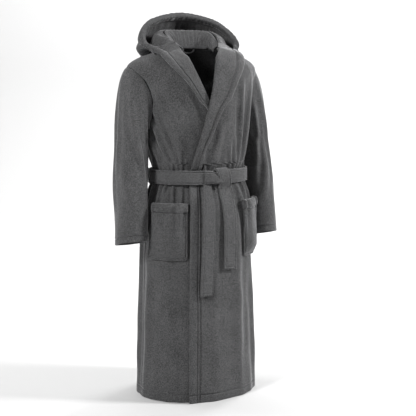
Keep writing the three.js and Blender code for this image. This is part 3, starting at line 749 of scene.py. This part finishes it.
# The collar roll from its foot over the middle to its crest, each line from its end to the nape.
ROLL = np.array([
    [[62, -22, 1206], [70, 2, 1217], [72, 28, 1220], [60, 52, 1222], [34, 68, 1223], [0, 73, 1223]],
    [[60, -26, 1216], [66, 0, 1232], [72, 32, 1247], [64, 58, 1262], [37, 75, 1267], [0, 80, 1267]],
    [[72, -26, 1224], [88, 0, 1240], [95, 38, 1262], [87, 67, 1279], [50, 88, 1284], [0, 93, 1284]]]) * MM
ROLL[..., 1] += SHIFT_Y
ROLL_WHOLE = np.concatenate([ROLL, (ROLL * [-1, 1, 1])[:, -2::-1]], 1)


def roll_point(station, t, out):
    rows = [along(ROLL_WHOLE[k], station) for k in range(3)]
    t3 = t[..., None]
    p = rows[0] * (1 - t3) ** 2 + rows[1] * 2 * t3 * (1 - t3) + rows[2] * t3 * t3
    away = p - np.array([0, 0.009, 0])
    away[..., 2] = 0
    return p + unit(away) * np.asarray(out)[..., None]


def make_neck():
    s = np.linspace(0, 10, 260)[None, :]
    t = ticks(0.06, 2.5 * MM)[:, None]
    x, y = np.broadcast_arrays(s, t)
    gathers = np.sin(x * 15.5 + 2.2 * noise(x * 1.7, y, 51))
    gathers = gathers * (0.35 + 0.65 * np.abs(noise(x * 2.3, y * 1.4, 53)))
    gathers = gathers * np.sin(math.pi * np.clip(y * 0.86 + 0.12, 0, 1))
    share = rounded(t, 0.06) * rounded(s / 10, 0.35)
    lift = 1.5 * MM * gathers - 2 * MM * np.sin(math.pi * y) - 2.5 * MM
    piece = plush("collar_roll", roll_point(x, y, lift + 3.2 * MM * share),
                  roll_point(x, y, lift - 3.2 * MM * share), body=None)
    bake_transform(piece)
    make_tape()
    make_hanging_loop()


def make_tape():
    wide = 10 * MM
    h = ticks(wide, 1.5 * MM)[:, None]
    x, y = np.broadcast_arrays(np.linspace(2.4, 7.6, 120)[None, :], h)

    def face(out):
        p = roll_point(x, 0 * y, out)
        p[..., 2] += (y * 10 - 3.5) * MM
        return p

    share = rounded(h, wide)
    piece = dress(sheet_mesh("neck_tape", face(-5.9 * MM + 0 * share), face(-5.9 * MM - 1.5 * MM * share)),
                  "neck_tape", "robe", TAPE)


def make_hanging_loop():
    lo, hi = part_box("hanging_loop")
    wide, drop = (hi[0] - lo[0]) / 2 - 3 * MM, hi[2] - lo[2] - 3 * MM
    a = np.linspace(0, np.pi, 60)
    path = np.stack([-wide * np.cos(a), 0 * a + (lo[1] + hi[1]) / 2, hi[2] - drop * np.sin(a) ** 0.7], -1)
    piece = ribbon("hanging_loop", path, unit(np.cross(np.gradient(path, axis=0), [0, 1, 0])), 6 * MM, 2 * MM)
    dress(piece, "hanging_loop", "hang_loop", TAPE)


def ribbon(name, path, across, width, thick, marks=(), depth=1.1 * MM, end_marks=()):
    """A flat strap along a path: across points to its second edge, and width and thick may vary along it.
    Its stitches run along it at marks and across it at end_marks."""
    run = np.concatenate([[0], np.cumsum(np.linalg.norm(np.diff(path, axis=0), axis=1))])
    long = run[-1]
    at = ticks(long, 2.5 * MM, marks=end_marks) * long

    def spot(table):
        return np.stack([np.interp(at, run, table[:, k]) for k in range(3)], -1)

    centre, side = spot(path), unit(spot(across))
    width = np.interp(at, run, np.broadcast_to(width, len(path)))[:, None]
    thick = np.interp(at, run, np.broadcast_to(thick, len(path)))[:, None]
    typical = float(width.mean())
    s = ticks(typical, 2.5 * MM, marks=marks)[None, :]
    normal = unit(np.cross(unit(np.gradient(centre, axis=0)), side))[:, None, :]
    place = centre[:, None, :] + side[:, None, :] * (s[..., None] - 0.5) * width[..., None]
    share = rounded(s, typical) * rounded((at / long)[:, None], long)
    groove = 0 * share
    for m in marks:
        groove = groove + sewn(s * typical - m, depth)
    for m in end_marks:
        between = (s * typical > min(marks) - 1e-6) * (s * typical < max(marks) + 1e-6)
        groove = groove + sewn(at[:, None] - m, depth) * between
    half = normal * (thick / 2 * share + groove)[..., None]
    return sheet_mesh(name, place + half, place - half)


# ---- pockets ----
POCKET_FROM, POCKET_TO = 30, 74  # degrees
POCKET_LOW, POCKET_HIGH = 498 * MM, 692 * MM
POCKET_WIDE, POCKET_TALL = 160 * MM, POCKET_HIGH - POCKET_LOW
POCKET_BAND = 30 * MM
POCKET_CORNER = 16 * MM
POCKET_STITCH = 7 * MM, 8 * MM   # in from the sides and up from the bottom


def pocket_point(side, s, z, out):
    """A point out from a pocket's back: s from its inner edge, with round bottom corners."""
    level = level_at(z)
    d = np.clip(POCKET_CORNER - (z - POCKET_LOW), 0, POCKET_CORNER)
    inset = (POCKET_CORNER - np.sqrt(np.maximum(POCKET_CORNER ** 2 - d ** 2, 0))) / POCKET_WIDE
    q = inset + (1 - 2 * inset) * s
    phi = POCKET_FROM + (POCKET_TO - POCKET_FROM) * q
    bulge = 13 * MM * (1 - np.abs(2 * q - 1) ** 4) * np.minimum(1, (z - POCKET_LOW) / POCKET_TALL * 6)
    rest = (wrap(phi, level) + PLY if side > 0 else 0) + 0.7 * MM
    return skin(side * phi, level, rest + bulge + out)


def make_pockets():
    stitch, foot_stitch = POCKET_STITCH
    body = POCKET_TALL - POCKET_BAND
    s = ticks(POCKET_WIDE, 4 * MM, marks=(stitch, POCKET_WIDE - stitch))[None, :]
    near, far = s * POCKET_WIDE, (1 - s) * POCKET_WIDE
    for name, side in SIDES:
        t = ticks(body - SEAM, 4 * MM, marks=(foot_stitch,))[:, None] * (body - SEAM)
        share = rounded(s, POCKET_WIDE) * rounded(t / body, body)
        groove = (sewn(near - stitch) + sewn(far - stitch)) * (t > foot_stitch)
        groove = groove + sewn(t - foot_stitch) * (near > stitch) * (far > stitch)
        cloth = 3.0 * MM * noise(s * 4 + 3, t / (60 * MM), 63 + side) * share
        fringe = 0.5 * MM * noise(s * 40, t / (5 * MM), 61)
        pocket_sheet(f"pocket_{name}", side, s, POCKET_LOW + t, 8 * MM, share, groove + cloth + fringe)
        t = ticks(POCKET_BAND, 2.5 * MM)[:, None] * POCKET_BAND
        share = rounded(s, POCKET_WIDE) * rounded(t / POCKET_BAND, POCKET_BAND)
        puff = 4.0 * MM * np.sin(math.pi * np.clip(t / POCKET_BAND, 0, 1)) ** 0.6 * share
        pocket_sheet(f"pocket_band_{name}", side, s, POCKET_LOW + body + t, PLY + 5 * MM, share, puff)


def pocket_sheet(node, side, s, z, thick, share, relief):
    s, z = np.broadcast_arrays(s, z)
    half = thick / 2
    outer = pocket_point(side, s, z, half + half * share + relief)
    inner = pocket_point(side, s, z, half - half * share)
    plush(node, outer, inner)


# ---- belt ----
WAIST = along(LEVELS, 5)
WAIST_WIDE, WAIST_DEEP = WAIST[0], (WAIST[1] + WAIST[2]) / 2
# How much fuller the body is at the belt's edges than at the waist.
BELLY = max((along(LEVELS, level_at(BELT_Z + e * BELT_WIDTH / 2)) - WAIST)[:3].max() for e in (-1, 1))
BELT_FRONT, BELT_BACK = WRAP_AT_BELT + PLY + 6 * MM, 3.5 * MM
BELT_STITCH, TAIL_STITCH, LOOP_STITCH = 5.5 * MM, 6.5 * MM, 3.5 * MM
BELT_THICK = 8 * MM


def belt_seams(s):
    return sewn(s * BELT_WIDTH - BELT_STITCH) + sewn((1 - s) * BELT_WIDTH - BELT_STITCH)


def belt_lift(phi):
    d = (phi + 180) % 360 - 180
    front = np.where(d < 0, smooth(d, -52, -36), 1 - smooth(d, 46, 90))
    return mix(BELT_BACK, BELT_FRONT, front) + BELLY


def belt_point(phi, z, out):
    p = base(phi, 5)
    outward = np.stack([p[..., 0] / WAIST_WIDE ** 2, (p[..., 1] - WAIST_Y) / WAIST_DEEP ** 2, 0 * phi], -1)
    p = p + unit(outward) * np.asarray(belt_lift(phi) + out)[..., None]
    p[..., 2] = z
    return p


def make_belt():
    phi = np.linspace(13, 353, 420)[None, :]
    s = ticks(BELT_WIDTH, 3 * MM, marks=(BELT_STITCH, BELT_WIDTH - BELT_STITCH))[:, None]
    half = BELT_THICK / 2
    share = rounded(s, BELT_WIDTH)
    wavy = 0.9 * MM * noise(phi / 9, s * 1.6, 73)
    z = BELT_Z + (s - 0.5) * BELT_WIDTH + 1.0 * MM * noise(phi / 17, 0 * phi, 71)
    phi = phi + 0 * s
    outer = belt_point(phi, z, half + half * share + belt_seams(s) + wavy)
    inner = belt_point(phi, z, half - half * share)
    piece = dress(sheet_mesh("belt_waist", outer, inner), "belt_waist", "robe", BELT_PLUSH)
    make_knot()
    make_tails()
    make_loops()


def make_knot():
    """The near belt end, folded and pinched where it passes under the tail."""
    u = np.linspace(0, 1, 60)[None, :]
    s = ticks(BELT_WIDTH, 2.5 * MM, marks=(BELT_STITCH, BELT_WIDTH - BELT_STITCH))[:, None]
    phi = mix(-13, 16, u) + 0 * s
    top = BELT_Z + mix(22.5, 10, smooth(u, 0.15, 0.85)) * MM
    low = BELT_Z - mix(22.5, 24, smooth(u, 0.1, 0.6)) * MM + 6 * MM * smooth(u, 0.7, 1)
    z = mix(low, top, s)
    swell = (3 + 13 * np.sin(math.pi * np.clip(u * 0.95, 0, 1)) ** 1.3) * MM
    crown = np.sqrt(np.maximum(1 - (2 * s - 1) ** 4, 0))
    crease = -4.5 * MM * np.exp(-((s - mix(0.95, 0.62, u)) / 0.07) ** 2) * smooth(u, 0.2, 0.5)
    groove = belt_seams(s) * (1 - smooth(u, 0.5, 0.9))
    share = rounded(s, BELT_WIDTH) * rounded(u, 0.09)
    outer = belt_point(phi, z, 4 * MM + (5 * MM + swell * crown) * share + groove + crease)
    inner = belt_point(phi, z, 4 * MM - 3.6 * MM * share)
    piece = dress(sheet_mesh("belt_knot", outer, inner), "belt_knot", "robe", BELT_PLUSH)


def front_y(x, z):
    """Where the front's smooth surface lies behind the tails."""
    level = level_at(z)
    phi = np.degrees(np.arcsin(np.clip(x / along(LEVELS, level)[..., 0], -1, 1)))
    return skin(phi, level, wrap(phi, level) + PLY + MM, fold=0.0)[..., 1]


# The tails' middle lines, from the knot down: millimetres across and up.
TAILS = {"long": [[-30, 752], [-33, 690], [-38, 600], [-43, 500], [-48, 377]],
         "short": [[32, 752], [41, 700], [45, 640], [45, 560], [43, 463]]}
TUCK = 768 * MM        # the long tail's top, under the belt


def tail_path(points):
    t = np.linspace(0, 4, 160)
    xz = along(np.array(points) * MM, t)
    rest = front_y(xz[:, 0], xz[:, 1]) - 3.5 * MM
    y = np.minimum(rest, mix(rest[0] - 5 * MM, rest, smooth(t / 4, 0, 0.4))) - 4 * MM
    return np.stack([xz[:, 0], y, xz[:, 1]], -1)


def tucked_under(path):
    """The long tail comes out from under the belt: its path, its width and its thickness."""
    x, y = path[0, :2]
    path = np.concatenate([[[x + 2 * MM, y + 9 * MM, TUCK], [x + MM, y + 5.5 * MM, TUCK - 11 * MM]], path[2:]])
    drop = TUCK - path[:, 2]
    wide = BELT_WIDTH * mix(0.62, 1, smooth(drop, 0.01, 0.075))
    return path, wide, mix(3.5 * MM, BELT_THICK, smooth(drop, 0.004, 0.035))


def brought_over(path):
    """The short tail comes up from behind the belt and over it: its path, its width and its thickness."""
    over = belt_point(np.array([5.5, 6, 6.5, 7.5, 8.5, 9.5]), BELT_Z, np.array([0, 6, 16, 24, 22, 17]) * MM)
    over[:, 2] = BELT_Z + np.array([20, 27, 27, 14, -6, -22]) * MM
    over[:, 0] += np.array([0, 0, 0, 0, 1, 3]) * MM
    path = np.concatenate([along(over, np.linspace(0, 5, 60)), path[8:]])
    for _ in range(30):
        path[1:-1] = (path[:-2] + 2 * path[1:-1] + path[2:]) / 4
    return path, BELT_WIDTH, BELT_THICK


def make_tails():
    for name, start in (("long", tucked_under), ("short", brought_over)):
        path, wide, thick = start(tail_path(TAILS[name]))
        across = np.tile([1.0, 0, 0], (len(path), 1))
        long = float(np.linalg.norm(np.diff(path, axis=0), axis=1).sum())
        piece = ribbon(f"belt_tail_{name}", path, across, wide, thick,
                       marks=(TAIL_STITCH, BELT_WIDTH - TAIL_STITCH), end_marks=(long - 9 * MM,))
        dress(piece, f"belt_tail_{name}", None, BELT_PLUSH)
        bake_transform(piece)


def make_loops():
    wide, half = 17 * MM, BELT_WIDTH / 2
    for name, side in SIDES:
        lo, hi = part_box(f"belt_loop_{name}")
        low, high = lo[2], hi[2]
        clear = float(belt_point(np.array(90.0), BELT_Z, 10 * MM)[0])
        foot = lambda z: [float(base(90, level_at(z))[0]) + 3.0 * MM, z]
        p = along([foot(low), foot(low + 8 * MM), [clear, BELT_Z - half + 2 * MM], [clear + MM, BELT_Z],
                   [clear, BELT_Z + half - 2 * MM], foot(high - 8 * MM), foot(high)], np.linspace(0, 6, 70))
        path = np.stack([side * p[:, 0], 0 * p[:, 0] + WAIST_Y, p[:, 1]], -1)
        across = np.tile([0.0, 1, 0], (len(path), 1))
        piece = ribbon(f"belt_loop_{name}", path, across, wide, 3.4 * MM,
                       marks=(LOOP_STITCH, wide - LOOP_STITCH), depth=0.6 * MM)
        dress(piece, f"belt_loop_{name}", "robe", BELT_PLUSH)


# ---- light, floor and camera ----
AZIMUTH, PITCH = math.radians(-27), math.radians(7.73)
EYE_HEIGHT, EYE_AWAY = 1.12, 3.415
AIM_ASIDE = 0.04702
FLOOR_HALF, WALL_HIGH = 9.0, 6.0
WALL_BACK, WALL_BEND = 3.2, 1.2


def area_light(name, place, aim, size, watts):
    light = bpy.data.lights.new(name, "AREA")
    light.shape = "RECTANGLE"
    light.size, light.size_y = size
    light.energy = watts
    lamp = bpy.data.objects.new(name, light)
    bpy.context.scene.collection.objects.link(lamp)
    lamp.location = place
    lamp.rotation_euler = (Vector(aim) - Vector(place)).to_track_quat("-Z", "Y").to_euler()


def make_stage():
    """A pale floor that curves up into a wall, square to the camera."""
    mesh = bpy.data.meshes.new("floor")
    c, s = math.cos(AZIMUTH), math.sin(AZIMUTH)
    flat = WALL_BACK - WALL_BEND
    rows = [(-FLOOR_HALF, 0.0), (flat, 0.0)]
    rows += [(flat + WALL_BEND * math.sin(a), WALL_BEND * (1 - math.cos(a)))
             for a in np.linspace(0.1, math.pi / 2, 14)]
    rows += [(WALL_BACK, WALL_HIGH)]
    points = [(x * c - y * s, x * s + y * c, z - 0.5 * MM) for y, z in rows for x in (-FLOOR_HALF, FLOOR_HALF)]
    faces = [(2 * k, 2 * k + 1, 2 * k + 3, 2 * k + 2) for k in range(len(rows) - 1)]
    mesh.from_pydata(points, [], faces)
    mesh.shade_smooth()
    floor = bpy.data.objects.new("floor", mesh)
    bpy.context.scene.collection.objects.link(floor)
    material = bpy.data.materials.new("floor")
    material.use_nodes = True
    put(material.node_tree.nodes["Principled BSDF"],
        {"Base Color": (0.575, 0.575, 0.575, 1), "Roughness": 0.9, "Specular IOR Level": 0.0})
    mesh.materials.append(material)
    world = bpy.data.worlds.new("world")
    bpy.context.scene.world = world
    world.use_nodes = True
    put(world.node_tree.nodes["Background"], {"Color": (1, 1, 1, 1), "Strength": 0.205})
    area_light("key", (-3.2, -1.3, 2.6), (0, 0, 0.75), (0.7, 0.7), 122)
    area_light("right", (3.0, -2.0, 2.6), (0, 0, 0.85), (0.6, 0.6), 200)
    area_light("rim", (2.7, 1.3, 2.2), (0, 0, 0.8), (1.0, 1.8), 70)
    area_light("back", (-1.6, 2.3, 2.8), (0, 0, 1.0), (1.6, 1.2), 55)
    area_light("wash", (1.2, 1.4, 3.6), (1.6, 3.4, 0.6), (2.6, 1.0), 75)


def make_camera():
    data = bpy.data.cameras.new("camera")
    data.sensor_width = 36
    data.lens = 83.6
    camera = bpy.data.objects.new("camera", data)
    bpy.context.scene.collection.objects.link(camera)
    c, s = math.cos(AZIMUTH), math.sin(AZIMUTH)
    camera.location = (EYE_AWAY * s, -EYE_AWAY * c, EYE_HEIGHT)
    aim = Vector((AIM_ASIDE * c, AIM_ASIDE * s, EYE_HEIGHT - EYE_AWAY * math.tan(PITCH)))
    camera.rotation_euler = (aim - camera.location).to_track_quat("-Z", "Y").to_euler()
    bpy.context.scene.camera = camera
    bpy.context.scene.view_settings.view_transform = "Standard"


make_camera()
make_stage()
make_back()
make_fronts()
make_bands()
make_hems()
make_lapels()
make_sleeves()
make_hood()
make_neck()
make_pockets()
make_belt()
